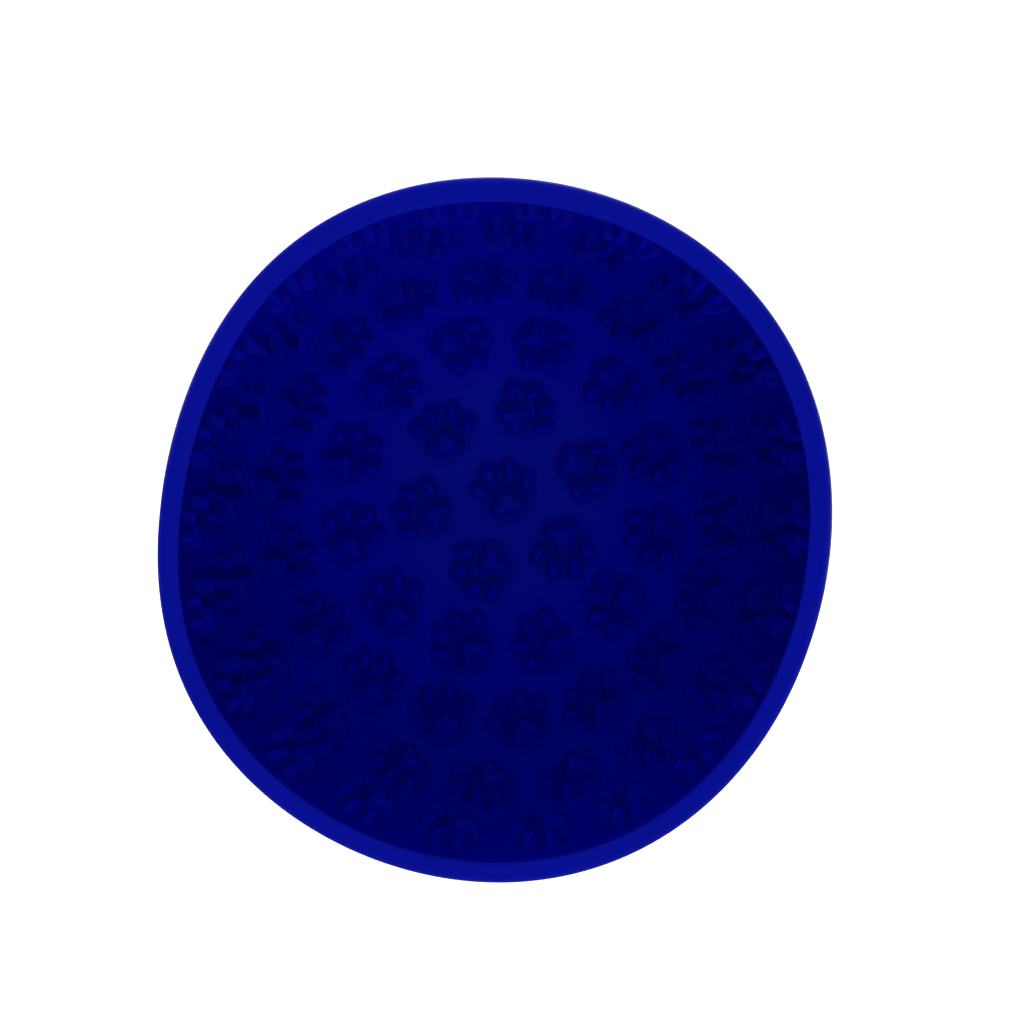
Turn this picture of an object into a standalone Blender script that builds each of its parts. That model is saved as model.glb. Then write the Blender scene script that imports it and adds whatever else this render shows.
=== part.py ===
"""Wobble slow feeder bowl: a soft liner with a rim bead sits in a round-bottomed
shell that holds a low weight under a sealed, screwed-down cover.
Metres, +Z up, floor at Z = 0, bowl axis on Z, long way of the oval rim along Y."""

import math

import bmesh
import bpy
from mathutils import Vector
from mathutils.geometry import delaunay_2d_cdt

MM = 0.001
SEG = 56  # facets around the bowl

# whole bowl
HEIGHT = 78.0 * MM
RIM_R = 82.5 * MM  # mean outer radius of the rim
RIM_BAND = 5.2 * MM  # flat band seen from above
FOOT_R = 15.0 * MM  # small flat foot under the rounded base

# soft rim is a little out of round: waves around, share of the radius, direction of a crest
OVALS = ((2, 0.0370, 79.0), (4, 0.0099, 31.3), (5, 0.0025, -16.3))
OVAL_POWER = 1.8  # fades out from the rim down to the floor

# liner
LINER_WALL = 2.4 * MM
FLOOR_Z = 17.5 * MM
BEAD_BOTTOM = 70.7 * MM
EDGE_IN = 0.6 * MM  # rounding of the rim's inner edge
EDGE_OUT = 1.8 * MM  # rounding of the rim's outer edge

# raised paw prints: number in each ring, radius of the ring, turn from the outward way,
# angle of the first one
PAW_RINGS = (
    (1, 0.0, 90.0, 15.0),
    (6, 21.35 * MM, -38.0, 14.5),
    (12, 39.0 * MM, -121.0, 14.7),
    (18, 55.0 * MM, -155.0, 14.6),
    (20, 68.1 * MM, -40.0, 14.7),
    (22, 75.1 * MM, -57.0, 16.3),
)
RELIEF = 3.0 * MM
FLANK = 1.3 * MM  # how far the foot of a bump stands out from its top
TOES = ((6.3 * MM, 0.7 * MM, 30.0), (2.7 * MM, 4.5 * MM, 8.0))  # place and splay, one side
TOE_WIDE, TOE_LONG = 1.1 * MM, 1.6 * MM
PAD_LOW = -3.7 * MM
PAD_TIP, PAD_BASE, PAD_HALF = 2.4 * MM, -2.1 * MM, 3.1 * MM
FILL_GAP = 4.2 * MM  # spacing of points on the plain wall between bumps

# shell
SHELL_WALL = 2.5 * MM
BASE_WALL = 3.8 * MM  # under the weight, where the flat foot takes some of it away
SHELL_TOP = 70.4 * MM
RIBS = 8
RIB_T = 2.2 * MM
RIB_GAP = 0.8 * MM
RIB_TOP = 53.0 * MM

# ballast pocket, its weight, seal, cover and screws
POCKET_R = 30.3 * MM
POCKET_WALL_R = 40.0 * MM
POCKET_TOP = 12.3 * MM
GROOVE_IN, GROOVE_OUT, GROOVE_Z = 31.2 * MM, 33.4 * MM, 10.9 * MM
SEAL_R, SEAL_SECTION, SEAL_Z = 32.3 * MM, 0.6 * MM, 11.75 * MM
WEIGHT_R, WEIGHT_TOP = 29.8 * MM, 12.0 * MM
COVER_R, COVER_BOTTOM, COVER_TOP = 39.6 * MM, 12.6 * MM, 14.6 * MM
SCREWS = 4
SCREW_PCD_R = 36.8 * MM
SCREW_SHANK_R, SCREW_HEAD_R = 1.3 * MM, 2.7 * MM
SCREW_TIP_Z = 8.9 * MM
HEAD_Z = 13.2 * MM  # underside of the countersunk head
SOCKET_FLATS, SOCKET_DEPTH = 2.0 * MM, 0.9 * MM
GAP = 0.3 * MM

INNER_A, INNER_B = RIM_R - RIM_BAND, HEIGHT - FLOOR_Z
OUTER_A = RIM_R
OUTER_B = HEIGHT / math.sqrt(1 - (FOOT_R / OUTER_A) ** 2)


def clear_scene():
    for ob in list(bpy.data.objects):
        bpy.data.objects.remove(ob, do_unlink=True)


def oval(theta, z):
    """Radius factor of the out-of-round upper bowl."""
    share = min(max((z - FLOOR_Z) / (HEIGHT - FLOOR_Z), 0.0), 1.0) ** OVAL_POWER
    wave = sum(c * math.cos(n * (theta - math.radians(d))) for n, c, d in OVALS)
    return 1 + share * wave


def on_ellipse(a, b, t, out):
    """Point of the bowl ellipse at angle t from the bottom, moved out along its normal."""
    nr, nz = b * math.sin(t), -a * math.cos(t)
    n = math.hypot(nr, nz)
    return (
        a * math.sin(t) + out * nr / n,
        HEIGHT - b * math.cos(t) + out * nz / n,
    )


def angle_where(a, b, out, axis, value):
    """Angle at which the moved ellipse reaches a radius (axis 0) or a height (axis 1)."""
    low, high = 0.0, math.pi / 2
    for _ in range(60):
        mid = (low + high) / 2
        if on_ellipse(a, b, mid, out)[axis] < value:
            low = mid
        else:
            high = mid
    return low


def arc(a, b, out, t0, t1, steps):
    return [
        on_ellipse(a, b, t0 + (t1 - t0) * i / steps, out) for i in range(steps + 1)
    ]


def corner(r, z, radius, start_deg, end_deg, steps):
    """Rounded corner about (r, z)."""
    points = []
    for i in range(steps + 1):
        w = math.radians(start_deg + (end_deg - start_deg) * i / steps)
        points.append((r + radius * math.cos(w), z + radius * math.sin(w)))
    return points


def material(name, colour, roughness, metallic=0.0):
    m = bpy.data.materials.new(name)
    m.use_nodes = True
    p = m.node_tree.nodes["Principled BSDF"]
    p.inputs["Base Color"].default_value = (*colour, 1.0)
    p.inputs["Roughness"].default_value = roughness
    p.inputs["Metallic"].default_value = metallic
    return m


def add_object(name, verts, faces, mat=None, smooth=True):
    mesh = bpy.data.meshes.new(name)
    mesh.from_pydata(verts, [], faces)
    bm = bmesh.new()
    bm.from_mesh(mesh)
    bmesh.ops.recalc_face_normals(bm, faces=bm.faces)
    bm.to_mesh(mesh)
    bm.free()
    for f in mesh.polygons:
        f.use_smooth = smooth
    if mat:
        mesh.materials.append(mat)
    ob = bpy.data.objects.new(name, mesh)
    bpy.context.scene.collection.objects.link(ob)
    return ob


def turned_mesh(profile, segments, centre=(0.0, 0.0), shape=None, loop=False, cap=False):
    """Verts and faces of a profile of (radius, height) turned about a vertical axis;
    cap closes the first row with one flat face."""
    verts, faces, rows = [], [], []
    for r, z in profile:
        if r < 1e-9:
            rows.append([len(verts)] * segments)
            verts.append((centre[0], centre[1], z))
            continue
        row = []
        for k in range(segments):
            th = 2 * math.pi * k / segments
            s = r * (shape(th, z) if shape else 1.0)
            row.append(len(verts))
            verts.append(
                (centre[0] + s * math.cos(th), centre[1] + s * math.sin(th), z)
            )
        rows.append(row)
    pairs = list(zip(rows, rows[1:]))
    if cap:
        faces.append(rows[0])
    if loop:
        pairs.append((rows[-1], rows[0]))
    for low, high in pairs:
        for k in range(segments):
            n = (k + 1) % segments
            face = []
            for v in (low[k], low[n], high[n], high[k]):
                if v not in face:
                    face.append(v)
            if len(face) > 2:
                faces.append(face)
    return verts, faces


def joined(parts):
    """Several meshes as one list of verts and faces."""
    verts, faces = [], []
    for v, f in parts:
        base = len(verts)
        verts += v
        faces += [[i + base for i in face] for face in f]
    return verts, faces


def cutter(name, verts, faces):
    ob = add_object(name, verts, faces, smooth=False)
    ob.hide_render = True
    ob.display_type = "WIRE"
    return ob


def boolean(ob, other, operation):
    m = ob.modifiers.new(operation.lower() + "_" + other.name, "BOOLEAN")
    m.operation = operation
    m.solver = "EXACT"
    m.object = other


def screw_places():
    for k in range(SCREWS):
        th = 2 * math.pi * (k + 0.5) / SCREWS
        yield SCREW_PCD_R * math.cos(th), SCREW_PCD_R * math.sin(th)


def wall_point(t, theta, height=0.0):
    """Point of the liner's inside at angle t from the bottom, raised out of the wall."""
    r, z = on_ellipse(INNER_A, INNER_B, t, -height)
    r *= oval(theta, HEIGHT - INNER_B * math.cos(t))
    return Vector((r * math.cos(theta), r * math.sin(theta), z))


def wall_place(point):
    """Angles (t, theta) of the place on the liner's inside next to a point."""
    theta = math.atan2(point.y, point.x)
    r = math.hypot(point.x, point.y) / oval(theta, point.z)
    return math.atan2(r / INNER_A, (HEIGHT - point.z) / INNER_B), theta


def wall_length(t, steps=64):
    """Length along the wall from the bottom up to angle t."""
    step = t / steps
    return sum(
        math.hypot(INNER_A * math.cos(step * (i + 0.5)), INNER_B * math.sin(step * (i + 0.5)))
        for i in range(steps)
    ) * step


def bump_outlines():
    """Top and foot of each bump of one paw print, toes towards +v."""
    bumps = []
    for side in (-1, 1):
        for u, v, splay in TOES:
            w = -side * math.radians(splay)
            rows = []
            for grow in (0.0, FLANK):
                row = []
                for k in range(5):
                    a = math.pi / 2 + 2 * math.pi * k / 5
                    x = (TOE_WIDE + grow) * math.cos(a)
                    y = (TOE_LONG + grow) * math.sin(a)
                    row.append(
                        (
                            side * u + x * math.cos(w) - y * math.sin(w),
                            v + x * math.sin(w) + y * math.cos(w),
                        )
                    )
                rows.append(row)
            bumps.append(rows)
    rows = []
    for grow in (0.0, FLANK):
        tip, low, half = PAD_TIP + grow, PAD_BASE - grow, PAD_HALF + grow
        row = [(0.45 * half, low), (half, 0.45 * low), (0.28 * half, tip)]
        row += [(-x, y) for x, y in reversed(row)]
        rows.append([(x, PAD_LOW + y) for x, y in row])
    bumps.append(rows)
    return bumps


def liner_inside(t_end):
    """Inside of the liner with its bumps; the first SEG verts are its upper edge."""
    flat, places, edges = [], [], []

    def add(t, theta, height):
        s = wall_length(t)
        flat.append(Vector((s * math.cos(theta), s * math.sin(theta))))
        places.append(wall_point(t, theta, height))
        return len(flat) - 1

    for k in range(SEG):
        add(t_end, 2 * math.pi * k / SEG, 0.0)
    edges += [(k, (k + 1) % SEG) for k in range(SEG)]

    outlines = bump_outlines()
    for count, radius, turn, start in PAW_RINGS:
        t = math.asin(radius / INNER_A)
        for k in range(count):
            theta = math.radians(start) + 2 * math.pi * k / count
            centre = wall_point(t, theta)
            out = (wall_point(t + 1e-4, theta) - wall_point(t - 1e-4, theta)).normalized()
            side = Vector((-math.sin(theta), math.cos(theta), 0.0))
            w = math.radians(turn)
            ahead = out * math.cos(w) + side * math.sin(w)
            right = out * math.sin(w) - side * math.cos(w)
            for top, foot in outlines:
                for row, height in ((top, RELIEF), (foot, 0.0)):
                    ids = [
                        add(*wall_place(centre + right * u + ahead * v), height)
                        for u, v in row
                    ]
                    edges += list(zip(ids, ids[1:] + ids[:1]))

    # points on the plain wall between the bumps
    used = list(flat)
    whole = wall_length(t_end)
    rings = int(whole / FILL_GAP)
    for i in range(rings):
        s = whole * i / rings
        count = max(1, int(2 * math.pi * s / FILL_GAP))
        for k in range(count):
            theta = 2 * math.pi * (k + 0.5 * (i % 2)) / count
            here = Vector((s * math.cos(theta), s * math.sin(theta)))
            if min((here - other).length for other in used) > 0.8 * FILL_GAP:
                low, high = 0.0, math.pi / 2
                for _ in range(40):
                    mid = (low + high) / 2
                    low, high = (mid, high) if wall_length(mid) < s else (low, mid)
                add(low, theta, 0.0)

    found, _, faces, origin = delaunay_2d_cdt(flat, edges, [], 0, 1e-9)[:4]
    if len(found) != len(flat):
        raise ValueError("bumps of the liner touch each other")
    back = [o[0] for o in origin]
    return places, [[back[i] for i in face] for face in faces]


def liner(mat):
    outer_start = angle_where(INNER_A, INNER_B, LINER_WALL, 1, BEAD_BOTTOM)
    profile = corner(INNER_A + EDGE_IN, HEIGHT - EDGE_IN, EDGE_IN, 180, 90, 2)
    profile += corner(RIM_R - EDGE_OUT, HEIGHT - EDGE_OUT, EDGE_OUT, 90, 0, 4)
    profile += [(RIM_R, BEAD_BOTTOM + GAP), (RIM_R - GAP, BEAD_BOTTOM)]
    profile += arc(INNER_A, INNER_B, LINER_WALL, outer_start, 0.0, 11)
    verts, faces = turned_mesh(profile, SEG, shape=oval)
    t_end = angle_where(INNER_A, INNER_B, 0.0, 1, HEIGHT - EDGE_IN)
    inside, inside_faces = liner_inside(t_end)
    ids = list(range(SEG)) + [len(verts) + i for i in range(len(inside) - SEG)]
    verts += [tuple(p) for p in inside[SEG:]]
    faces += [[ids[i] for i in face] for face in inside_faces]
    ob = add_object("lick_liner", verts, faces, mat)
    for f in ob.data.polygons[-len(inside_faces) :]:
        f.use_smooth = False


def shell(mat):
    foot_t = angle_where(OUTER_A, OUTER_B, 0.0, 0, FOOT_R)
    top_out = angle_where(OUTER_A, OUTER_B, 0.0, 1, SHELL_TOP)
    top_in = angle_where(OUTER_A, OUTER_B, -SHELL_WALL, 1, SHELL_TOP)
    ring_t = angle_where(OUTER_A, OUTER_B, -SHELL_WALL, 0, POCKET_WALL_R)
    pocket_t = angle_where(OUTER_A, OUTER_B, -BASE_WALL, 0, POCKET_R)
    profile = [(FOOT_R, 0.0)] + arc(OUTER_A, OUTER_B, 0.0, foot_t, top_out, 13)[1:]
    profile += arc(OUTER_A, OUTER_B, -SHELL_WALL, top_in, ring_t, 10)
    profile += [(POCKET_WALL_R, POCKET_TOP)]
    profile += [(GROOVE_OUT, POCKET_TOP), (GROOVE_OUT, GROOVE_Z)]
    profile += [(GROOVE_IN, GROOVE_Z), (GROOVE_IN, POCKET_TOP)]
    profile += [(POCKET_R, POCKET_TOP)]
    profile += arc(OUTER_A, OUTER_B, -BASE_WALL, pocket_t, 0.0, 4)
    mesh = turned_mesh(profile, SEG, shape=oval, cap=True)
    ob = add_object("outer_shell", *mesh, mat)

    # ribs from the pocket wall out to the side wall, just under the liner
    out = LINER_WALL + RIB_GAP
    t0 = angle_where(INNER_A, INNER_B, out, 0, POCKET_WALL_R + GAP)
    t1 = angle_where(INNER_A, INNER_B, out, 1, RIB_TOP)
    mid = -0.5 * SHELL_WALL
    s0 = angle_where(OUTER_A, OUTER_B, mid, 0, POCKET_WALL_R - 1.5 * MM)
    s1 = angle_where(OUTER_A, OUTER_B, mid, 1, RIB_TOP)
    outline = arc(INNER_A, INNER_B, out, t0, t1, 5)
    outline += arc(OUTER_A, OUTER_B, mid, s1, s0, 6)
    step = POCKET_TOP - 0.8 * MM
    outline += [(POCKET_WALL_R - 1.5 * MM, step), (POCKET_WALL_R + GAP, step)]
    ribs = []
    for k in range(RIBS):
        th = 2 * math.pi * (k + 0.5) / RIBS
        c, s = math.cos(th), math.sin(th)
        verts = []
        for side in (-0.5 * RIB_T, 0.5 * RIB_T):
            verts += [(r * c - side * s, r * s + side * c, z) for r, z in outline]
        n = len(outline)
        faces = [list(range(n)), list(range(2 * n - 1, n - 1, -1))]
        faces += [[i, (i + 1) % n, (i + 1) % n + n, i + n] for i in range(n)]
        ribs.append((verts, faces))
    boolean(ob, cutter("shell_ribs", *joined(ribs)), "UNION")

    holes = []
    for place in screw_places():
        r = SCREW_SHANK_R + GAP
        bottom, top = SCREW_TIP_Z - GAP, POCKET_TOP + MM
        profile = [(0.0, bottom), (r, bottom), (r, top), (0.0, top)]
        holes.append(turned_mesh(profile, 12, place))
    boolean(ob, cutter("shell_screw_holes", *joined(holes)), "DIFFERENCE")


def weight(mat):
    """Cast weight: flat on top, round below like the pocket it lies in."""
    out = -(BASE_WALL + GAP)
    edge = angle_where(OUTER_A, OUTER_B, out, 0, WEIGHT_R)
    bevel = 0.8 * MM
    profile = arc(OUTER_A, OUTER_B, out, 0.0, edge, 6)
    profile += [(WEIGHT_R, WEIGHT_TOP - bevel), (WEIGHT_R - bevel, WEIGHT_TOP)]
    profile += [(0.0, WEIGHT_TOP)]
    add_object("ballast_weight", *turned_mesh(profile, 48), mat)


def cover(mat):
    bevel = 0.5 * MM
    profile = [(0.0, COVER_BOTTOM), (COVER_R, COVER_BOTTOM)]
    profile += [(COVER_R, COVER_TOP - bevel), (COVER_R - bevel, COVER_TOP)]
    profile += [(0.0, COVER_TOP)]
    ob = add_object("ballast_cover", *turned_mesh(profile, 48), mat, smooth=False)
    holes = []
    for place in screw_places():
        r, wide = SCREW_SHANK_R + GAP, SCREW_HEAD_R + GAP
        rise = (COVER_TOP - HEAD_Z) / (SCREW_HEAD_R - SCREW_SHANK_R) * MM
        profile = [(0.0, COVER_BOTTOM - MM), (r, COVER_BOTTOM - MM), (r, HEAD_Z)]
        profile += [(wide, COVER_TOP), (wide + MM, COVER_TOP + rise)]
        profile += [(0.0, COVER_TOP + rise)]
        holes.append(turned_mesh(profile, 12, place))
    boolean(ob, cutter("cover_holes", *joined(holes)), "DIFFERENCE")


def seal(mat):
    profile = corner(SEAL_R, SEAL_Z, SEAL_SECTION, 0, 360, 8)[:-1]
    add_object("cover_seal", *turned_mesh(profile, 40, loop=True), mat)


def screws(mat):
    sockets = []
    for place in screw_places():
        r = SOCKET_FLATS / math.sqrt(3)
        top = COVER_TOP - GAP / 2
        profile = [(0.0, top - SOCKET_DEPTH), (r, top - SOCKET_DEPTH)]
        profile += [(r, top + MM), (0.0, top + MM)]
        sockets.append(turned_mesh(profile, 6, place))
    tool = cutter("screw_sockets", *joined(sockets))
    for k, place in enumerate(screw_places()):
        top = COVER_TOP - GAP / 2
        profile = [(0.0, SCREW_TIP_Z), (SCREW_SHANK_R * 0.4, SCREW_TIP_Z)]
        profile += [(SCREW_SHANK_R, SCREW_TIP_Z + SCREW_SHANK_R)]
        profile += [(SCREW_SHANK_R, HEAD_Z), (SCREW_HEAD_R, top), (0.0, top)]
        name = "cover_screw_" + str(k + 1)
        ob = add_object(name, *turned_mesh(profile, 12, place), mat, smooth=False)
        boolean(ob, tool, "DIFFERENCE")


clear_scene()
liner(material("liner_rubber", (0.004, 0.010, 0.28), 0.55))
shell(material("shell_rubber", (0.004, 0.010, 0.24), 0.6))
weight(material("weight_iron", (0.10, 0.10, 0.105), 0.7, 1.0))
cover(material("cover_plastic", (0.02, 0.05, 0.30), 0.5))
seal(material("seal_rubber", (0.03, 0.03, 0.035), 0.6))
screws(material("screw_steel", (0.62, 0.62, 0.63), 0.3, 1.0))
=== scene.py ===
"""Looks of the wobble slow feeder bowl: soft blue liner with raised paw prints and a
smooth rim, round-bottomed shell under it, weight pocket with its screwed cover."""

import math

import bmesh
import bpy
import numpy as np
from mathutils import Matrix, Vector


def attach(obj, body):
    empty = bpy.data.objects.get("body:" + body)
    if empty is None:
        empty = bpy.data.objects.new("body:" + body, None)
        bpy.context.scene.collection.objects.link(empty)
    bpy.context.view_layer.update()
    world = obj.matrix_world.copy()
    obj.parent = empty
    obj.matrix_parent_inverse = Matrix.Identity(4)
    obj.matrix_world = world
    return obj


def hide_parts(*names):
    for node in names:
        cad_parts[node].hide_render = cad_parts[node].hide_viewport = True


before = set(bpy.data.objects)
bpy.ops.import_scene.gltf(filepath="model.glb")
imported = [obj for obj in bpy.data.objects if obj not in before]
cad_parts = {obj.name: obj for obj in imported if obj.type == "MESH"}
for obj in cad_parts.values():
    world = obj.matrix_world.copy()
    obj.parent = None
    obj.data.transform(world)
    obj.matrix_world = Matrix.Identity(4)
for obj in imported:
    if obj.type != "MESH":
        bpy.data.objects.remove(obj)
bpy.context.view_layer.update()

MM = 0.001

# shapes shared with the solid model, in millimetres
HEIGHT, RIM_R, RIM_BAND, FOOT_R, FLOOR_Z = 78.0, 82.5, 5.2, 15.0, 17.5
OVALS = ((2, 0.0370, 79.0), (4, 0.0099, 31.3), (5, 0.0025, -16.3))
OVAL_POWER = 1.8
LINER_WALL, BEAD_BOTTOM, EDGE_IN, EDGE_OUT = 2.4, 70.7, 0.55, 1.8
SHELL_WALL, BASE_WALL, SHELL_TOP = 2.5, 3.8, 70.4
RIBS, RIB_T, RIB_GAP, RIB_TOP = 8, 2.2, 0.8, 53.0
POCKET_R, POCKET_WALL_R, POCKET_TOP = 30.3, 40.0, 12.3
GROOVE_IN, GROOVE_OUT, GROOVE_Z = 31.2, 33.4, 10.9
COVER_R, COVER_BOTTOM, COVER_TOP = 39.6, 12.6, 14.6
SCREWS, SCREW_PCD_R, SHANK_R, HEAD_R = 4, 36.8, 1.3, 2.7
TIP_Z, HEAD_Z, SOCKET_FLATS, SOCKET_DEPTH = 8.9, 13.2, 2.0, 0.9
GAP = 0.3
INNER_A, INNER_B = RIM_R - RIM_BAND, HEIGHT - FLOOR_Z
OUTER_A = RIM_R
OUTER_B = HEIGHT / math.sqrt(1 - (FOOT_R / OUTER_A) ** 2)

# paw prints: number in each ring, radius of the ring, turn against the outward
# direction, angle of the first one
RINGS = (
    (1, 0.0, 90.0, 15.0),
    (6, 21.35, -38.0, 14.5),
    (12, 39.0, -121.0, 14.7),
    (18, 55.0, -155.0, 14.6),
    (20, 68.1, -40.0, 14.7),
    (22, 75.1, -57.0, 16.3),
)
TOE_PLACES = ((6.3, 0.7), (2.7, 4.5))  # each has its mirror image
TOE_TOP = (0.55, 0.9)  # rounding and half length of the ridge along the top of a toe
TOE_SPLAY_DEG = (30.0, 8.0)
# the pad is an arrowhead: front tip, the two rear lobes and the notch between them
PAD_TIP, PAD_LOBE, PAD_NOTCH = -1.8, (2.8, -5.1), -4.1
PAD_EDGE = 0.35
TOE_HIGH, PAD_HIGH, WEB = 3.2, 3.2, 1.3  # heights of the bumps, depth of the hollow between them
HOLLOW = ((4.0, -4.0), (1.9, -6.4))  # its outline behind the toes
TOE_FLANK = (1.5, 1.5)  # width of the flank towards the pad and away from it
PAD_FLANK = (1.6, 1.9)  # width of the flank towards the toes and away from them
TOE_CROWN, PAD_CROWN, FILLET, CREASE = 1.2, 1.5, 0.6, 0.2  # rounding of tops, foot and valleys
SOFT = 0.38  # how far every edge of the moulding is softened
# painted light on the relief: raised tops painted lighter as highlights, hollows painted darker as shade
PAINTED_LIGHT_REACH, PAINTED_HIGHLIGHT, PAINTED_HIGHLIGHT_TOP, PAINTED_SHADE = 0.8, 0.22, 0.40, 0.36  # spread in mm, share for each mm
UP_WALL = 0.5  # how much of this is lost up the wall
PAD_TONE = 0.10  # the broad pads are a shade darker than the toes
GRID = 520


# ---------------------------------------------------------------- curves


def oval(theta, z):
    share = np.clip((z - FLOOR_Z) / (HEIGHT - FLOOR_Z), 0.0, 1.0) ** OVAL_POWER
    total = 0.0
    for n, amount, crest in OVALS:
        total = total + amount * np.cos(n * (theta - math.radians(crest)))
    return 1.0 + share * total


def on_ellipse(a, b, t, out):
    nr, nz = b * np.sin(t), -a * np.cos(t)
    n = np.hypot(nr, nz)
    return a * np.sin(t) + out * nr / n, HEIGHT - b * np.cos(t) + out * nz / n


def angle_where(a, b, out, axis, value):
    low, high = 0.0, math.pi / 2
    for _ in range(60):
        mid = (low + high) / 2
        if on_ellipse(a, b, mid, out)[axis] < value:
            low = mid
        else:
            high = mid
    return low


def arc(a, b, out, t0, t1, steps):
    r, z = on_ellipse(a, b, np.linspace(t0, t1, steps + 1), out)
    return list(zip(r, z))


def corner(r, z, radius, start, end, steps):
    w = np.radians(np.linspace(start, end, steps + 1))
    return list(zip(r + radius * np.cos(w), z + radius * np.sin(w)))


# ---------------------------------------------------------------- meshes


def new_object(name, verts_mm, faces, smooth=True):
    mesh = bpy.data.meshes.new(name)
    mesh.from_pydata((np.asarray(verts_mm, float) * MM).tolist(), [], faces)
    bm = bmesh.new()
    bm.from_mesh(mesh)
    bmesh.ops.recalc_face_normals(bm, faces=bm.faces)
    bm.to_mesh(mesh)
    bm.free()
    mesh.polygons.foreach_set("use_smooth", [smooth] * len(mesh.polygons))
    ob = bpy.data.objects.new(name, mesh)
    bpy.context.scene.collection.objects.link(ob)
    return ob


def turned(profile, segments, centre=(0.0, 0.0), shape=None):
    """Verts and faces of a profile of (radius, height) turned about a vertical axis."""
    verts, faces, rows = [], [], []
    for r, z in profile:
        if r < 1e-6:
            rows.append([len(verts)] * segments)
            verts.append((centre[0], centre[1], z))
            continue
        th = np.arange(segments) * (2 * math.pi / segments)
        s = r * (shape(th, np.full(segments, z)) if shape else np.ones(segments))
        rows.append(list(range(len(verts), len(verts) + segments)))
        verts += [
            (centre[0] + a, centre[1] + b, z)
            for a, b in zip(s * np.cos(th), s * np.sin(th))
        ]
    for low, high in zip(rows, rows[1:]):
        for k in range(segments):
            n = (k + 1) % segments
            face = []
            for v in (low[k], low[n], high[n], high[k]):
                if v not in face:
                    face.append(v)
            if len(face) > 2:
                faces.append(face)
    return verts, faces


def joined(parts):
    verts, faces = [], []
    for v, f in parts:
        base = len(verts)
        verts += list(v)
        faces += [[i + base for i in face] for face in f]
    return verts, faces


def boolean(ob, verts, faces, operation, bevel=0.0):
    """Cuts or adds a mesh, then keeps only the result."""
    tool = new_object(ob.name + "_tool", verts, faces, smooth=False)
    if bevel:
        m = tool.modifiers.new("edge", "BEVEL")
        m.width, m.segments, m.limit_method = bevel * MM, 2, "ANGLE"
    m = ob.modifiers.new("shape", "BOOLEAN")
    m.operation, m.solver, m.object = operation, "EXACT", tool
    bpy.context.view_layer.update()
    mesh = bpy.data.meshes.new_from_object(
        ob.evaluated_get(bpy.context.evaluated_depsgraph_get())
    )
    ob.modifiers.clear()
    ob.data = mesh
    bpy.data.objects.remove(tool, do_unlink=True)


def sharp_edges(ob, degrees):
    """Smooth shading with the true edges kept sharp, without the specks a cut leaves."""
    bm = bmesh.new()
    bm.from_mesh(ob.data)
    bmesh.ops.remove_doubles(bm, verts=bm.verts, dist=0.002 * MM)
    bmesh.ops.dissolve_degenerate(bm, edges=bm.edges, dist=0.002 * MM)
    spare = [v for v in bm.verts if len(v.link_edges) == 2]
    bmesh.ops.dissolve_verts(bm, verts=spare)
    limit = math.radians(degrees)
    for f in bm.faces:
        f.smooth = True
    for e in bm.edges:
        e.smooth = not (len(e.link_faces) == 2 and e.calc_face_angle(0.0) > limit)
    bm.to_mesh(ob.data)
    bm.free()


# ---------------------------------------------------------------- liner


def smooth_step(x):
    x = np.clip(x, 0.0, 1.0)
    return x * x * (3 - 2 * x)


def soft_max(a, b, k):
    h = np.clip(k - np.abs(a - b), 0.0, None) / k
    return np.maximum(a, b) + h * h * k / 4


def soft_min(a, b, k):
    return -soft_max(-a, -b, k)


def bump(d, high, flank, crown):
    """Height of a bump at distance d outside its top; rounded top, straight flank."""
    return soft_min(high * (1 - d / flank), np.full_like(d, high), crown)


def blurred(field, cells):
    """A grid smoothed over a soft spot a few cells wide."""
    reach = int(3 * cells) + 1
    weights = np.exp(-0.5 * (np.arange(-reach, reach + 1) / cells) ** 2)
    weights /= weights.sum()
    for _ in range(2):
        wide = np.pad(field, ((reach, reach), (0, 0)), mode="edge")
        field = sum(w * wide[i : i + len(field)] for i, w in enumerate(weights)).T
    return field


def toe(u, v, place, splay):
    c, s = math.cos(splay), math.sin(splay)
    du, dv = u - place[0], v - place[1]
    along, across = du * s + dv * c, du * c - dv * s
    d = np.hypot(across, np.maximum(np.abs(along) - TOE_TOP[1], 0.0)) - TOE_TOP[0]
    reach = math.hypot(place[0], place[1] + 2.0)
    out = (du * place[0] + dv * (place[1] + 2.0)) / (reach * (np.hypot(du, dv) + 1e-6))
    near, far = TOE_FLANK
    return bump(d, TOE_HIGH, near + (far - near) * smooth_step(0.5 + 0.5 * out), TOE_CROWN)


def to_polygon(u, v, corners):
    """Distance to a convex outline that runs anticlockwise, negative inside it."""
    inside, d = None, None
    for (au, av), (bu, bv) in zip(corners, corners[1:] + corners[:1]):
        eu, ev = bu - au, bv - av
        h = np.clip(((u - au) * eu + (v - av) * ev) / (eu * eu + ev * ev), 0.0, 1.0)
        edge = np.hypot(u - au - eu * h, v - av - ev * h)
        left = eu * (v - av) - ev * (u - au) > 0
        d = edge if d is None else np.minimum(d, edge)
        inside = left if inside is None else inside & left
    return np.where(inside, -d, d)


def pad(u, v):
    across, low = PAD_LOBE
    d = None
    for mirrored in (u, -u):
        half = ((0.9, PAD_TIP - 0.9), (0.0, PAD_TIP), (-across, low), (0.9, PAD_NOTCH))
        one = to_polygon(mirrored, v, half)
        d = one if d is None else np.minimum(d, one)
    rear = smooth_step(0.5 - (v - low + 0.35 * np.abs(u)) / 2.4)
    near, far = PAD_FLANK
    dish = 0.9 * np.exp(-(u**2 + (v - low - 1.5) ** 2) / 2.4)
    return bump(d - PAD_EDGE, PAD_HIGH, near + (far - near) * rear, PAD_CROWN) - dish


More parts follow.
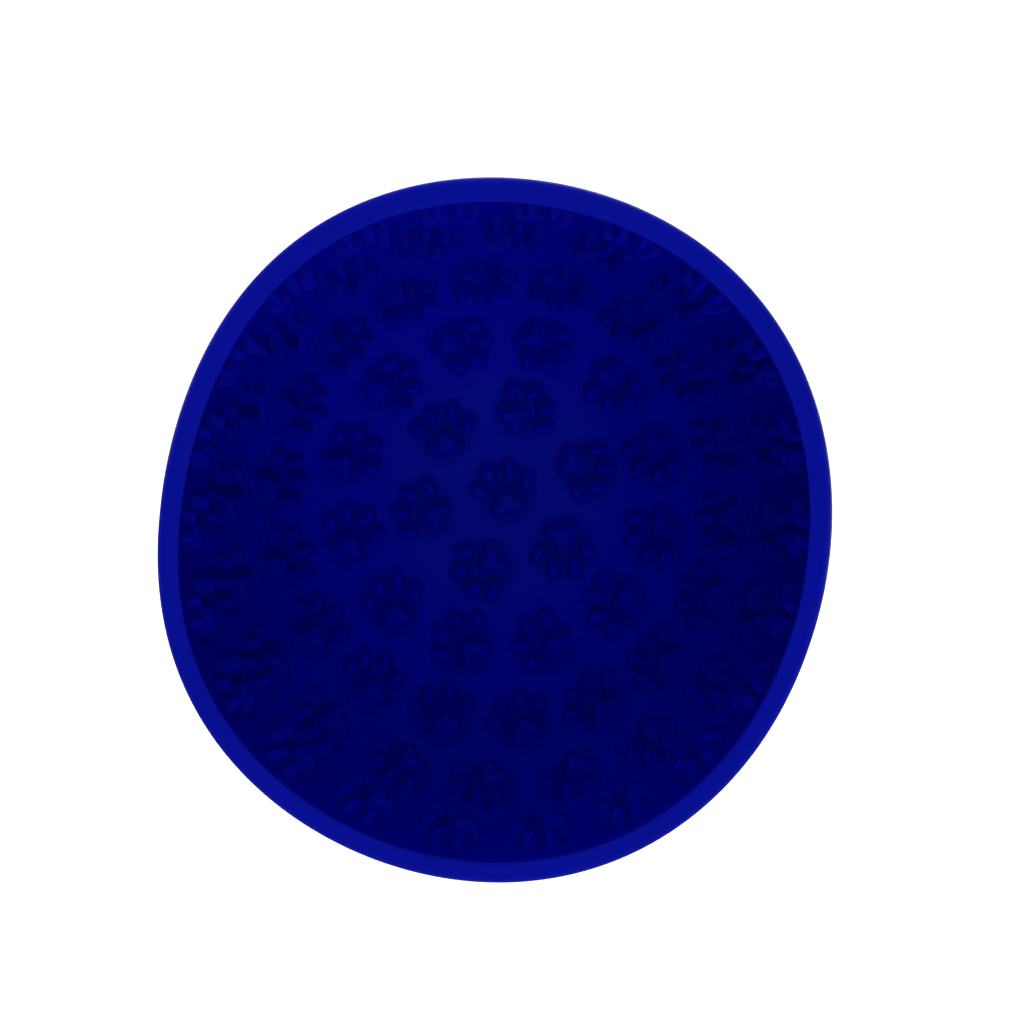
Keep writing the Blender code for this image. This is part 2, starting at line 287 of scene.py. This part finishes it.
def paw(u, v):
    """Height of a paw print, and how far its pad stands up as a share of the full height."""
    h = pad(u, v)
    broad = smooth_step(h / PAD_HIGH)
    for (pu, pv), turn in zip(TOE_PLACES, TOE_SPLAY_DEG):
        for side in (-1, 1):
            one = toe(u, v, (side * pu, pv), side * math.radians(turn))
            h = soft_max(h, one, CREASE)
    # the skin between the toes and round the pad is hollow
    (au, av), (bu, bv) = TOE_PLACES
    right = (HOLLOW[1], HOLLOW[0], (au, av), (bu, bv))
    ring = right + tuple((-cu, cv) for cu, cv in reversed(right))
    hollow = -WEB * smooth_step(0.5 - (to_polygon(u, v, ring) - 1.9) / 3.0)
    return soft_max(h, hollow, FILLET), broad


def liner_inner():
    """Square grid laid over the round inside: verts, their boundary loop and faces."""
    n = GRID
    g = np.linspace(-1, 1, n + 1)
    b, a = np.meshgrid(g, g)
    wide = np.abs(a) >= np.abs(b)
    with np.errstate(divide="ignore", invalid="ignore"):
        rho = np.where(wide, a, b)
        phi = np.where(
            wide,
            (math.pi / 4) * np.where(a == 0, 0, b / a),
            math.pi / 2 - (math.pi / 4) * np.where(b == 0, 0, a / b),
        )
    theta = np.where(rho < 0, phi + math.pi, phi)
    share = np.abs(rho)

    t_end = angle_where(INNER_A, INNER_B, 0.0, 1, HEIGHT - EDGE_IN)
    t_table = np.linspace(0, t_end, 4001)
    r_table, z_table = on_ellipse(INNER_A, INNER_B, t_table, 0.0)
    step = np.hypot(np.diff(r_table), np.diff(z_table))
    s_table = np.concatenate([[0.0], np.cumsum(step)])
    t = np.interp(share * s_table[-1], s_table, t_table)

    def base(t, theta):
        r, z = on_ellipse(INNER_A, INNER_B, t, 0.0)
        r = r * oval(theta, z)
        return np.stack([r * np.cos(theta), r * np.sin(theta), z], -1)

    def frame_at(t, theta):
        """Outward along the wall, sideways, and out of the wall into the bowl."""
        tr, tz = INNER_A * np.cos(t), INNER_B * np.sin(t)
        m = np.hypot(tr, tz)
        tr, tz = tr / m, tz / m
        c, s = np.cos(theta), np.sin(theta)
        along = np.stack([tr * c, tr * s, tz], -1)
        side = np.stack([-s, c, np.zeros_like(c)], -1)
        normal = np.stack([-tz * c, -tz * s, tr], -1)
        return along, side, normal

    p = base(t, theta)
    normal = frame_at(t, theta)[2]
    height, broad = np.zeros(t.shape), np.zeros(t.shape)
    for count, radius, turn, start in RINGS:
        tk = math.asin(min(radius / INNER_A, 1.0))
        for k in range(count):
            th = math.radians(start) + 2 * math.pi * k / count
            c = base(np.array(tk), np.array(th))
            along, side, _ = frame_at(np.array(tk), np.array(th))
            d = p - c
            near = (d * d).sum(-1) < 12.5**2
            x, y = d[near] @ along, d[near] @ side
            w = math.radians(turn)
            v = x * math.cos(w) + y * math.sin(w)
            u = x * math.sin(w) - y * math.cos(w)
            one, pads = paw(u, v)
            broad[near] = np.maximum(broad[near], pads)
            far = np.abs(one) > np.abs(height[near])
            height[near] = np.where(far, one, height[near])
    cell = 2 * s_table[-1] / n
    height = blurred(height, SOFT / cell)
    edge = s_table[-1] * (1 - share)
    height *= smooth_step((edge - 0.3) / 2.2)
    p = p + normal * height[..., None]

    # what stands out gets a painted highlight, strongest near the rim, and what lies deep gets painted shade
    share_top = smooth_step((p[..., 2] - 57.0) / 10.0)
    even = 1 - UP_WALL * smooth_step((p[..., 2] - 29.0) / 12.0)
    gain = PAINTED_HIGHLIGHT * even + (PAINTED_HIGHLIGHT_TOP - PAINTED_HIGHLIGHT * even) * share_top
    stand = height - blurred(height, PAINTED_LIGHT_REACH / cell)
    painted_light_and_tone = np.clip(1 + np.where(stand > 0, gain, PAINTED_SHADE * even) * stand, 0.6, 1.5)
    painted_light_and_tone *= 1 - PAD_TONE * (1 - share_top) * broad

    index = np.arange((n + 1) ** 2).reshape(n + 1, n + 1)
    quads = np.stack(
        [index[:-1, :-1], index[1:, :-1], index[1:, 1:], index[:-1, 1:]], -1
    ).reshape(-1, 4)
    loop = np.concatenate(
        [index[n, :-1], index[::-1, n][:-1], index[0, ::-1][:-1], index[:-1, 0]]
    )
    # start the loop at the lowest angle and run it anticlockwise
    angles = np.mod(theta.ravel()[loop], 2 * math.pi)
    order = np.argsort(angles, kind="stable")
    return p.reshape(-1, 3), painted_light_and_tone.ravel(), loop[order], angles[order], quads


def liner():
    verts, painted_light_and_tone, loop, angles, quads = liner_inner()
    n = GRID
    count = len(loop)
    uv_scale, uv_pad = 0.66, 0.01
    gi, gj = np.divmod(np.arange(len(verts)), n + 1)
    vert_uv = np.stack([gi, gj], -1) / n * uv_scale + uv_pad
    corners = [quads.ravel()]
    uvs = [vert_uv[quads.ravel()]]
    sizes = [np.full(len(quads), 4)]

    # rim: over the inner edge, across the band, round the outer edge and under the bead
    r_in = INNER_A
    top = corner(r_in + EDGE_IN, HEIGHT - EDGE_IN, EDGE_IN, 180, 90, 5)[1:]
    flat = [
        (r_in + EDGE_IN + (RIM_BAND - EDGE_IN - EDGE_OUT) * f, HEIGHT)
        for f in (0.25, 0.5, 0.75)
    ]
    side = corner(RIM_R - EDGE_OUT, HEIGHT - EDGE_OUT, EDGE_OUT, 90, 0, 9)
    side += [(RIM_R, z) for z in (75.0, 73.6, 72.4)]
    side += corner(RIM_R - 0.6, BEAD_BOTTOM + 0.6, 0.6, 0, -90, 4)
    profile = top + flat + side
    all_verts = [verts]
    total = len(verts)
    rows = [loop]
    for r, z in profile:
        rr = r * oval(angles, np.full(count, z))
        all_verts.append(
            np.stack([rr * np.cos(angles), rr * np.sin(angles), np.full(count, z)], -1)
        )
        rows.append(np.arange(total, total + count))
        total += count
    lengths = [0.0]
    previous = (r_in, HEIGHT - EDGE_IN)
    for point in profile:
        lengths.append(
            lengths[-1] + math.hypot(point[0] - previous[0], point[1] - previous[1])
        )
        previous = point
    v_of = 0.69 + 0.10 * np.array(lengths) / lengths[-1]
    u_of = uv_pad + (1 - 2 * uv_pad) * np.arange(count + 1) / count
    k = np.arange(count)
    nxt = (k + 1) % count
    for i in range(len(rows) - 1):
        low, high = rows[i], rows[i + 1]
        q = np.stack([low[k], high[k], high[nxt], low[nxt]], -1)
        corners.append(q.ravel())
        sizes.append(np.full(count, 4))
        uvs.append(
            np.stack(
                [
                    np.stack([u_of[k], np.full(count, v_of[i])], -1),
                    np.stack([u_of[k], np.full(count, v_of[i + 1])], -1),
                    np.stack([u_of[k + 1], np.full(count, v_of[i + 1])], -1),
                    np.stack([u_of[k + 1], np.full(count, v_of[i])], -1),
                ],
                1,
            ).reshape(-1, 2)
        )

    # underside, with an eighth of the facets
    every = 8
    start = angle_where(INNER_A, INNER_B, LINER_WALL, 1, BEAD_BOTTOM)
    under = arc(INNER_A, INNER_B, LINER_WALL, start, 0.0, 26)
    coarse = count // every
    few = angles[::every]
    under_rows = []
    for r, z in under[:-1]:
        rr = r * oval(few, np.full(coarse, z))
        all_verts.append(
            np.stack([rr * np.cos(few), rr * np.sin(few), np.full(coarse, z)], -1)
        )
        under_rows.append(np.arange(total, total + coarse))
        total += coarse
    all_verts.append(np.array([[0.0, 0.0, under[-1][1]]]))
    pole = total
    last = rows[-1]
    v_under = np.linspace(0.81, 0.98, len(under))
    for j in range(coarse):
        nj = (j + 1) % coarse
        fine = [last[(j * every + m) % count] for m in range(every + 1)]
        face = [under_rows[0][nj], *reversed(fine), under_rows[0][j]]
        u0, u1 = u_of[j * every], u_of[(j + 1) * every]
        fine_uv = [(u_of[j * every + m], 0.80) for m in range(every + 1)]
        face_uv = [(u1, 0.81), *reversed(fine_uv), (u0, 0.81)]
        corners.append(np.array(face))
        sizes.append(np.array([len(face)]))
        uvs.append(np.array(face_uv))
    j = np.arange(coarse)
    nj = (j + 1) % coarse
    cu = uv_pad + (1 - 2 * uv_pad) * np.arange(coarse + 1) / coarse
    for i in range(len(under_rows) - 1):
        low, high = under_rows[i], under_rows[i + 1]
        q = np.stack([low[j], high[j], high[nj], low[nj]], -1)
        corners.append(q.ravel())
        sizes.append(np.full(coarse, 4))
        uvs.append(
            np.stack(
                [
                    np.stack([cu[j], np.full(coarse, v_under[i])], -1),
                    np.stack([cu[j], np.full(coarse, v_under[i + 1])], -1),
                    np.stack([cu[j + 1], np.full(coarse, v_under[i + 1])], -1),
                    np.stack([cu[j + 1], np.full(coarse, v_under[i])], -1),
                ],
                1,
            ).reshape(-1, 2)
        )
    low = under_rows[-1]
    tri = np.stack([low[j], np.full(coarse, pole), low[nj]], -1)
    corners.append(tri.ravel())
    sizes.append(np.full(coarse, 3))
    uvs.append(
        np.stack(
            [
                np.stack([cu[j], np.full(coarse, v_under[-2])], -1),
                np.stack([(cu[j] + cu[j + 1]) / 2, np.full(coarse, 0.98)], -1),
                np.stack([cu[j + 1], np.full(coarse, v_under[-2])], -1),
            ],
            1,
        ).reshape(-1, 2)
    )

    points = np.concatenate(all_verts) * MM
    corner_ids = np.concatenate(corners).astype(np.int32)
    face_sizes = np.concatenate(sizes).astype(np.int32)
    mesh = bpy.data.meshes.new("liner_moulding")
    mesh.vertices.add(len(points))
    mesh.vertices.foreach_set("co", points.ravel().astype(np.float32))
    mesh.loops.add(len(corner_ids))
    mesh.loops.foreach_set("vertex_index", corner_ids)
    mesh.polygons.add(len(face_sizes))
    starts = np.concatenate([[0], np.cumsum(face_sizes)[:-1]]).astype(np.int32)
    mesh.polygons.foreach_set("loop_start", starts)
    mesh.polygons.foreach_set("loop_total", face_sizes)
    mesh.polygons.foreach_set("use_smooth", np.ones(len(face_sizes), bool))
    mesh.update(calc_edges=True)
    layer = mesh.uv_layers.new(name="OFBake")
    layer.data.foreach_set("uv", np.concatenate(uvs).ravel().astype(np.float32))
    # painted highlights and painted shade of the relief, with the darker pads; the rim and underside get none
    vertex_light_and_tone = np.ones(len(points), np.float32)
    vertex_light_and_tone[: len(painted_light_and_tone)] = painted_light_and_tone
    mesh.attributes.new("painted_light_and_tone", "FLOAT", "POINT").data.foreach_set("value", vertex_light_and_tone)
    mesh.validate()
    ob = bpy.data.objects.new("liner_moulding", mesh)
    bpy.context.scene.collection.objects.link(ob)
    return ob


# ---------------------------------------------------------------- shell and small pieces


def screw_places():
    for k in range(SCREWS):
        th = 2 * math.pi * (k + 0.5) / SCREWS
        yield SCREW_PCD_R * math.cos(th), SCREW_PCD_R * math.sin(th)


def shell():
    foot_t = angle_where(OUTER_A, OUTER_B, 0.0, 0, FOOT_R)
    top_out = angle_where(OUTER_A, OUTER_B, 0.0, 1, SHELL_TOP - 0.5)
    top_in = angle_where(OUTER_A, OUTER_B, -SHELL_WALL, 1, SHELL_TOP - 0.5)
    ring_t = angle_where(OUTER_A, OUTER_B, -SHELL_WALL, 0, POCKET_WALL_R + 0.8)
    pocket_t = angle_where(OUTER_A, OUTER_B, -BASE_WALL, 0, POCKET_R)
    outer = arc(OUTER_A, OUTER_B, 0.0, foot_t, top_out, 44)
    inner = arc(OUTER_A, OUTER_B, -SHELL_WALL, top_in, ring_t, 30)
    profile = [(0.0, 0.0), (FOOT_R * 0.5, 0.0), (FOOT_R - 0.4, 0.0)] + outer[1:]
    profile += [(outer[-1][0] - 0.15, SHELL_TOP - 0.12), (outer[-1][0] - 0.5, SHELL_TOP)]
    profile += [(inner[0][0] + 0.5, SHELL_TOP), (inner[0][0] + 0.15, SHELL_TOP - 0.12)]
    profile += inner
    profile += [(POCKET_WALL_R + 0.2, inner[-1][1] + 0.3), (POCKET_WALL_R, inner[-1][1] + 1.0)]
    profile += [(POCKET_WALL_R, POCKET_TOP - 0.3), (POCKET_WALL_R - 0.3, POCKET_TOP)]
    profile += [(GROOVE_OUT, POCKET_TOP), (GROOVE_OUT, GROOVE_Z)]
    profile += [(GROOVE_IN, GROOVE_Z), (GROOVE_IN, POCKET_TOP)]
    profile += [(POCKET_R, POCKET_TOP)]
    profile += arc(OUTER_A, OUTER_B, -BASE_WALL, pocket_t, 0.0, 10)
    ob = new_object("shell_moulding", *turned(profile, 192, shape=oval))

    out = LINER_WALL + RIB_GAP
    t0 = angle_where(INNER_A, INNER_B, out, 0, POCKET_WALL_R + GAP)
    t1 = angle_where(INNER_A, INNER_B, out, 1, RIB_TOP)
    mid = -0.5 * SHELL_WALL
    s0 = angle_where(OUTER_A, OUTER_B, mid, 0, POCKET_WALL_R - 1.5)
    s1 = angle_where(OUTER_A, OUTER_B, mid, 1, RIB_TOP)
    outline = arc(INNER_A, INNER_B, out, t0, t1, 14)
    outline += arc(OUTER_A, OUTER_B, mid, s1, s0, 14)
    step = POCKET_TOP - 0.8
    outline += [(POCKET_WALL_R - 1.5, step), (POCKET_WALL_R + GAP, step)]
    ribs = []
    for k in range(RIBS):
        th = 2 * math.pi * (k + 0.5) / RIBS
        c, s = math.cos(th), math.sin(th)
        verts = []
        for side in (-0.5 * RIB_T, 0.5 * RIB_T):
            verts += [(r * c - side * s, r * s + side * c, z) for r, z in outline]
        n = len(outline)
        faces = [list(range(n)), list(range(2 * n - 1, n - 1, -1))]
        faces += [[i, (i + 1) % n, (i + 1) % n + n, i + n] for i in range(n)]
        ribs.append((verts, faces))
    boolean(ob, *joined(ribs), "UNION", bevel=0.35)
    holes = []
    for place in screw_places():
        r = SHANK_R + GAP
        low, high = TIP_Z - GAP, POCKET_TOP + 1.0
        holes.append(turned([(0, low), (r, low), (r, high), (0, high)], 24, place))
    boolean(ob, *joined(holes), "DIFFERENCE")
    sharp_edges(ob, 32)
    return ob


def cover():
    profile = [(0.0, COVER_BOTTOM), (COVER_R - 0.3, COVER_BOTTOM)]
    profile += [(COVER_R, COVER_BOTTOM + 0.3), (COVER_R, COVER_TOP - 0.6)]
    profile += corner(COVER_R - 0.6, COVER_TOP - 0.6, 0.6, 0, 90, 4)[1:]
    # shallow ring-shaped recess that thins the disc, and a round middle
    profile += [(31.5, COVER_TOP), (31.0, COVER_TOP - 0.15), (30.6, COVER_TOP - 0.7)]
    profile += [(14.4, COVER_TOP - 0.7), (14.0, COVER_TOP - 0.15), (13.5, COVER_TOP)]
    profile += [(0.0, COVER_TOP)]
    ob = new_object("cover_disc", *turned(profile, 128))
    spokes = []
    for k in range(8):
        th = 2 * math.pi * k / 8
        c, s = math.cos(th), math.sin(th)
        verts = []
        for z in (COVER_TOP - 1.0, COVER_TOP - 0.05):
            for r, w in ((13.0, -1.1), (32.0, -1.1), (32.0, 1.1), (13.0, 1.1)):
                verts.append((r * c - w * s, r * s + w * c, z))
        faces = [[0, 3, 2, 1], [4, 5, 6, 7], [0, 1, 5, 4], [1, 2, 6, 5]]
        faces += [[2, 3, 7, 6], [3, 0, 4, 7]]
        spokes.append((verts, faces))
    boolean(ob, *joined(spokes), "UNION")
    holes = []
    for place in screw_places():
        r, wide = SHANK_R + GAP, HEAD_R + GAP
        rise = (COVER_TOP - HEAD_Z) / (HEAD_R - SHANK_R)
        p = [(0, COVER_BOTTOM - 1), (r, COVER_BOTTOM - 1), (r, HEAD_Z)]
        p += [(wide, COVER_TOP), (wide + 1, COVER_TOP + rise), (0, COVER_TOP + rise)]
        holes.append(turned(p, 40, place))
    boolean(ob, *joined(holes), "DIFFERENCE")
    sharp_edges(ob, 30)
    return ob


def screw(number, place):
    top = COVER_TOP - GAP / 2
    p = [(0, TIP_Z), (SHANK_R * 0.4, TIP_Z), (SHANK_R * 0.86, TIP_Z + SHANK_R)]
    # thread as fine rings along the shank
    z = TIP_Z + SHANK_R
    while z + 0.5 < HEAD_Z - 0.4:
        p += [(SHANK_R, z + 0.25), (SHANK_R * 0.86, z + 0.5)]
        z += 0.5
    p += [(SHANK_R * 0.9, HEAD_Z), (HEAD_R, top - 0.25), (HEAD_R, top - 0.1)]
    p += [(HEAD_R - 0.12, top), (0, top)]
    ob = new_object("screw_" + str(number), *turned(p, 36, place))
    r = SOCKET_FLATS / math.sqrt(3)
    low = top - SOCKET_DEPTH
    cut = turned([(0, low - 0.3), (r, low), (r, top + 1), (0, top + 1)], 6, place)
    boolean(ob, *cut, "DIFFERENCE")
    sharp_edges(ob, 28)
    return ob


# ---------------------------------------------------------------- materials


class Nodes:
    """Small helper that wires a procedural material."""

    def __init__(self, name):
        self.mat = bpy.data.materials.new(name)
        self.mat.use_nodes = True
        self.tree = self.mat.node_tree
        self.surface = self.tree.nodes["Principled BSDF"]
        self.where = self.tree.nodes.new("ShaderNodeTexCoord").outputs["Object"]

    def link(self, a, b):
        self.tree.links.new(a, b)

    def noise(self, scale, detail=3.0, roughness=0.55, stretch=None):
        n = self.tree.nodes.new("ShaderNodeTexNoise")
        n.inputs["Scale"].default_value = scale
        n.inputs["Detail"].default_value = detail
        n.inputs["Roughness"].default_value = roughness
        where = self.where
        if stretch:
            m = self.tree.nodes.new("ShaderNodeMapping")
            m.inputs["Scale"].default_value = stretch
            self.link(where, m.inputs["Vector"])
            where = m.outputs["Vector"]
        self.link(where, n.inputs["Vector"])
        return n.outputs["Fac"]

    def spots(self, scale):
        n = self.tree.nodes.new("ShaderNodeTexVoronoi")
        n.inputs["Scale"].default_value = scale
        self.link(self.where, n.inputs["Vector"])
        return n.outputs["Distance"]

    def ramp(self, value, stops):
        r = self.tree.nodes.new("ShaderNodeValToRGB")
        for i, (at, colour) in enumerate(stops):
            e = r.color_ramp.elements
            if i >= len(e):
                e.new(at)
            e[i].position = at
            e[i].color = (*colour, 1.0)
        self.link(value, r.inputs["Fac"])
        return r.outputs["Color"]

    def range(self, value, low, high):
        m = self.tree.nodes.new("ShaderNodeMapRange")
        m.inputs["From Min"].default_value = 0.25
        m.inputs["From Max"].default_value = 0.75
        m.inputs["To Min"].default_value = low
        m.inputs["To Max"].default_value = high
        self.link(value, m.inputs["Value"])
        return m.outputs["Result"]

    def by_height(self, top, stops):
        """Colours that change with the height; stops are (height, colour)."""
        split = self.tree.nodes.new("ShaderNodeSeparateXYZ")
        self.link(self.where, split.inputs["Vector"])
        m = self.tree.nodes.new("ShaderNodeMapRange")
        m.inputs["From Max"].default_value = top
        self.link(split.outputs["Z"], m.inputs["Value"])
        return self.ramp(m.outputs["Result"], [(z / top, colour) for z, colour in stops])

    def stored(self, name):
        a = self.tree.nodes.new("ShaderNodeAttribute")
        a.attribute_name = name
        return a.outputs["Fac"]

    def mix(self, fac, a, b, how="MIX"):
        m = self.tree.nodes.new("ShaderNodeMix")
        m.data_type, m.blend_type = "RGBA", how
        ins = [i for i in m.inputs if i.enabled]
        for socket, value in zip(ins, (fac, a, b)):
            if isinstance(value, (int, float)):
                socket.default_value = value
            else:
                self.link(value, socket)
        return [o for o in m.outputs if o.enabled][0]

    def bump(self, heights):
        """heights: (value, strength, distance in metres), chained."""
        last = None
        for value, strength, distance in heights:
            b = self.tree.nodes.new("ShaderNodeBump")
            b.inputs["Strength"].default_value = strength
            b.inputs["Distance"].default_value = distance
            self.link(value, b.inputs["Height"])
            if last:
                self.link(last, b.inputs["Normal"])
            last = b.outputs["Normal"]
        self.link(last, self.surface.inputs["Normal"])

    def set(self, **values):
        for key, value in values.items():
            self.surface.inputs[key.replace("_", " ")].default_value = value


def rubber(name, colours, rough, painted_light_and_tone=None):
    """Matt rubber; colours are (height in metres, colour)."""
    n = Nodes(name)
    cloud = n.ramp(n.noise(38.0, 4.0), ((0.3, (0.895, 0.895, 0.895)), (0.7, (1.0, 1.0, 1.0))))
    fine = n.noise(900.0, 2.0)
    colour = n.mix(1.0, n.by_height(HEIGHT * MM, colours), cloud, "MULTIPLY")
    # painted highlights on raised tops and painted shade in the hollows, stored per vertex
    if painted_light_and_tone:
        colour = n.mix(1.0, colour, n.stored(painted_light_and_tone), "MULTIPLY")
    n.link(colour, n.surface.inputs["Base Color"])
    n.link(n.range(n.noise(140.0, 3.0), rough - 0.06, rough + 0.06), n.surface.inputs["Roughness"])
    n.surface.inputs["Specular IOR Level"].default_value = 0.018
    n.bump(((n.noise(260.0, 2.0), 0.10, 0.0004), (fine, 0.16, 0.0001)))
    return n.mat


def plastic(name, dark, light):
    n = Nodes(name)
    n.link(n.ramp(n.noise(60.0, 4.0), ((0.3, dark), (0.7, light))), n.surface.inputs["Base Color"])
    n.link(n.range(n.noise(300.0, 3.0), 0.42, 0.58), n.surface.inputs["Roughness"])
    n.bump(((n.noise(1800.0, 2.0), 0.3, 0.0001),))
    n.surface.inputs["Specular IOR Level"].default_value = 0.35
    return n.mat


def iron(name):
    n = Nodes(name)
    n.link(
        n.ramp(n.noise(90.0, 6.0, 0.7), ((0.3, (0.045, 0.045, 0.047)), (0.7, (0.12, 0.115, 0.11)))),
        n.surface.inputs["Base Color"],
    )
    n.link(n.range(n.noise(200.0, 4.0), 0.55, 0.8), n.surface.inputs["Roughness"])
    n.bump(((n.noise(420.0, 4.0, 0.7), 0.6, 0.0004),))
    n.surface.inputs["Metallic"].default_value = 0.8
    return n.mat


def steel(name):
    n = Nodes(name)
    streak = n.noise(900.0, 3.0, 0.6, (1.0, 1.0, 0.1))
    n.link(n.ramp(streak, ((0.3, (0.46, 0.46, 0.47)), (0.7, (0.66, 0.66, 0.67)))), n.surface.inputs["Base Color"])
    n.link(n.range(streak, 0.22, 0.38), n.surface.inputs["Roughness"])
    n.bump(((streak, 0.12, 0.00005),))
    n.surface.inputs["Metallic"].default_value = 1.0
    return n.mat


def black_rubber(name):
    n = Nodes(name)
    n.link(
        n.ramp(n.noise(120.0, 4.0), ((0.3, (0.010, 0.010, 0.011)), (0.7, (0.024, 0.024, 0.026)))),
        n.surface.inputs["Base Color"],
    )
    n.link(n.range(n.noise(500.0, 3.0), 0.45, 0.6), n.surface.inputs["Roughness"])
    n.bump(((n.noise(1500.0, 2.0), 0.2, 0.0001),))
    return n.mat


def paint(ob, mat):
    ob.data.materials.clear()
    ob.data.materials.append(mat)


# ---------------------------------------------------------------- build

# the liner's colour changes with height: painted light on the floor, painted shade growing up the walls,
# and its smooth rim painted lightest as a highlight; the shell is a shade lighter at its foot
MID_BLUE, LIT_FLOOR_BLUE = (0.0002, 0.0034, 0.330), (0.0001, 0.0004, 0.334)
SIDE_BLUE = (0.0001, 0.0004, 0.316)
LOW_BLUE, SHADED_WALL_BLUE = (0.0001, 0.0004, 0.283), (0.0001, 0.0004, 0.275)
LIT_RIM_BLUE, SHELL_BLUE = (0.0018, 0.0058, 0.385), (0.0004, 0.0017, 0.265)
liner_rubber = rubber(
    "liner_rubber",
    (
        (0.0180, MID_BLUE),
        (0.0206, MID_BLUE),
        (0.0230, LIT_FLOOR_BLUE),
        (0.0280, SIDE_BLUE),
        (0.0322, SIDE_BLUE),
        (0.0358, LOW_BLUE),
        (0.0380, LOW_BLUE),
        (0.0440, SHADED_WALL_BLUE),
        (0.0769, SHADED_WALL_BLUE),
        (0.0774, LIT_RIM_BLUE),
    ),
    0.55,
    "painted_light_and_tone",
)
shell_rubber = rubber(
    "shell_rubber", ((0.0, (0.0006, 0.0020, 0.297)), (0.004, SHELL_BLUE)), 0.58
)
cover_plastic = plastic("cover_plastic", (0.012, 0.030, 0.20), (0.016, 0.040, 0.24))
weight_iron = iron("weight_iron")
screw_steel = steel("screw_steel")
seal_rubber = black_rubber("seal_rubber")

liner_ob = liner()
paint(liner_ob, liner_rubber)
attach(liner_ob, "liner")
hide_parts("lick_liner")

shell_ob = shell()
paint(shell_ob, shell_rubber)
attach(shell_ob, "base")
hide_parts("outer_shell")

cover_ob = cover()
paint(cover_ob, cover_plastic)
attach(cover_ob, "base")
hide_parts("ballast_cover")

for number, place in enumerate(screw_places(), 1):
    screw_ob = screw(number, place)
    paint(screw_ob, screw_steel)
    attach(screw_ob, "base")
    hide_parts("cover_screw_" + str(number))

paint(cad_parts["ballast_weight"], weight_iron)
paint(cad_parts["cover_seal"], seal_rubber)

# ---------------------------------------------------------------- stage, light, camera

floor_mesh = bpy.data.meshes.new("floor")
floor_mesh.from_pydata([(-4, -4, 0), (4, -4, 0), (4, 4, 0), (-4, 4, 0)], [], [(0, 1, 2, 3)])
floor_ob = bpy.data.objects.new("floor", floor_mesh)
bpy.context.scene.collection.objects.link(floor_ob)
white = Nodes("floor_white")
white.surface.inputs["Base Color"].default_value = (0.93, 0.93, 0.93, 1.0)
white.surface.inputs["Roughness"].default_value = 0.9
white.surface.inputs["Specular IOR Level"].default_value = 0.1
white.surface.inputs["Emission Color"].default_value = (1.0, 1.0, 1.0, 1.0)
white.surface.inputs["Emission Strength"].default_value = 0.85
paint(floor_ob, white.mat)

world = bpy.data.worlds.new("studio")
bpy.context.scene.world = world
world.use_nodes = True
wt = world.node_tree
background = wt.nodes["Background"]
where = wt.nodes.new("ShaderNodeTexCoord")
split = wt.nodes.new("ShaderNodeSeparateXYZ")
wt.links.new(where.outputs["Generated"], split.inputs["Vector"])


def sky_math(how, *values):
    """One step of arithmetic on the direction of the light."""
    n = wt.nodes.new("ShaderNodeMath")
    n.operation = how
    for socket, value in zip(n.inputs, values):
        if isinstance(value, (int, float)):
            socket.default_value = value
        else:
            wt.links.new(value, socket)
    return n.outputs[0]


# soft light that changes slowly with its direction: powers of x, y and z and their weight
SKY = (
    (0, 0, 0, 0.78),
    (0, 0, 1, -0.499),
    (0, 0, 2, 0.451),
    (0, 1, 0, 0.102),
    (0, 1, 1, -0.738),
    (1, 0, 0, -0.084),
    (1, 0, 1, 0.455),
    (2, 0, 0, -0.612),
    (0, 2, 0, 0.941),
    (1, 1, 0, -0.623),
)
light = 0.0
for *powers, weight in SKY:
    term = weight
    for axis, power in zip("XYZ", powers):
        for _ in range(power):
            term = sky_math("MULTIPLY", split.outputs[axis], term)
    light = sky_math("ADD", light, term)
wt.links.new(sky_math("MAXIMUM", light, 0.05), background.inputs["Strength"])
background.inputs["Color"].default_value = (1.0, 1.0, 1.0, 1.0)

# camera: almost straight above, leaning to the +Y side
LEAN_Y, LEAN_X, DISTANCE, PX_PER_MM = 11.7, 2.39, 1000.0, 4.215
AIM_X, AIM_Y = 494.3, 530.2  # where the point 70 mm up the axis shows
cam_data = bpy.data.cameras.new("camera")
cam_data.sensor_width = 36.0
cam_data.lens = 36.0 * DISTANCE * PX_PER_MM / 1024.0
cam_data.clip_start, cam_data.clip_end = 0.05, 20.0
cam = bpy.data.objects.new("camera", cam_data)
bpy.context.scene.collection.objects.link(cam)
back = Vector((math.sin(math.radians(LEAN_X)), math.sin(math.radians(LEAN_Y)), 1.0)).normalized()
up = Vector((0.0, 1.0, 0.0))
up = (up - back * up.dot(back)).normalized()
right = up.cross(back)
place = Vector((0.0, 0.0, 70.0)) + back * DISTANCE
place += right * ((512.0 - AIM_X) / PX_PER_MM) + up * ((AIM_Y - 512.0) / PX_PER_MM)
turn = Matrix((right, up, back)).transposed().to_4x4()
cam.matrix_world = Matrix.Translation(place * MM) @ turn
bpy.context.scene.camera = cam

view = bpy.context.scene.view_settings
view.view_transform = "Standard"
view.look = "None"
